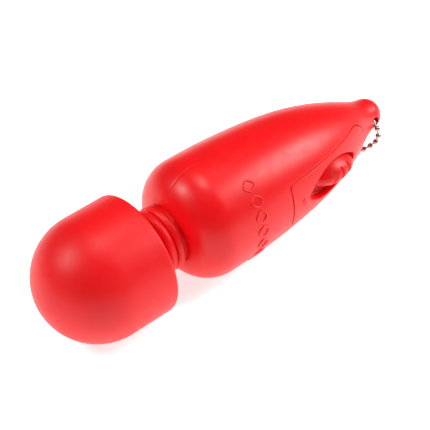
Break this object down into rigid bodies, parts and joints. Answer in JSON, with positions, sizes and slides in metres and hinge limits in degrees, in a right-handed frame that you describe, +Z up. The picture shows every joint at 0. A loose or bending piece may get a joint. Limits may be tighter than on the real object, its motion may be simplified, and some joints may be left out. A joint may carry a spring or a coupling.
{
  "type": "mini wand massager",
  "caption": "Small red battery wand massager with a domed vibrating head on a ribbed flexible neck, an oval thumb slider in its battery door, and a ball chain through its tail lug.",
  "frame": {"origin": "under the middle of the wand, on the surface that it lies on", "axes": "+X from the head to the tail, +Z up, the thumb slider faces -Y"},
  "size_m": [0.1, 0.0377, 0.029],
  "materials": {
    "head_soft_plastic": "satin red plastic with a faint moulded grain",
    "red_plastic": "satin to gloss red moulded plastic",
    "neck_rubber": "soft satin red elastomer",
    "steel": "drawn and plated steel",
    "cell_steel": "nickel plated steel can",
    "nickel_chain": "bright nickel plating",
    "white_plastic": "natural white moulded plastic",
    "black_plastic": "black moulded plastic",
    "contact_brass": "stamped brass",
    "magnet": "sintered ferrite, dark grey",
    "armature_iron": "wound iron core",
    "lead_red": "thin insulated wire",
    "lead_black": "thin insulated wire",
    "lead_pair": "thin insulated wires"
  },
  "bodies": {
    "root": {"body_shell_left": "red_plastic", "body_shell_right": "red_plastic", "battery_tray": "white_plastic", "button_cell_1": "cell_steel", "button_cell_2": "cell_steel", "button_cell_3": "cell_steel", "negative_contact": "contact_brass", "positive_contact": "contact_brass", "contact_spring": "steel", "switch_case": "black_plastic", "switch_terminals": "contact_brass", "lead_switch": "lead_red", "lead_negative": "lead_black", "lead_positive": "lead_red", "ball_chain": "nickel_chain", "chain_coupling": "nickel_chain"},
    "neck": {"neck_sleeve": "neck_rubber", "motor_leads": "lead_pair"},
    "head": {"head_cap": "head_soft_plastic", "motor_carrier": "red_plastic", "motor_can": "steel", "motor_end_bell": "white_plastic", "motor_magnets": "magnet", "motor_terminals": "contact_brass"},
    "rotor": {"motor_shaft": "steel", "armature": "armature_iron", "eccentric_weight": "contact_brass"},
    "switch_lever": {"switch_actuator": "black_plastic"},
    "door": {"battery_door": "red_plastic"},
    "slider": {"thumb_slider": "red_plastic", "slider_clip": "white_plastic"}
  },
  "joints": [
    {"name": "neck_sideways", "type": "hinge", "parent": "root", "child": "neck", "pos_m": [-0.02, 0, 0.0145], "axis": [0, 0, 1], "range_deg": [-12, 12], "stiffness_Nm_per_rad": 0.15, "deforming": ["neck_sleeve", "motor_leads"]},
    {"name": "neck_up_down", "type": "hinge", "parent": "neck", "child": "head", "pos_m": [-0.02, 0, 0.0145], "axis": [0, 1, 0], "range_deg": [-12, 12], "stiffness_Nm_per_rad": 0.15, "deforming": ["neck_sleeve", "motor_leads"]},
    {"name": "motor_spin", "type": "hinge", "parent": "head", "child": "rotor", "pos_m": [-0.045, 0, 0.0145], "axis": [1, 0, 0], "continuous": true},
    {"name": "door_lift", "type": "slide", "parent": "root", "child": "door", "axis": [0, -1, 0], "range_m": [0, 0.02]},
    {"name": "thumb_slide", "type": "slide", "parent": "door", "child": "slider", "axis": [-0.976, -0.2179, 0], "range_m": [0, 0.004]},
    {"name": "lever_slide", "type": "slide", "parent": "root", "child": "switch_lever", "axis": [-0.976, -0.2179, 0], "range_m": [0, 0.004]}
  ],
  "couplings": [
    {"joint": "lever_slide", "follows": "thumb_slide", "ratio": 1}
  ]
}
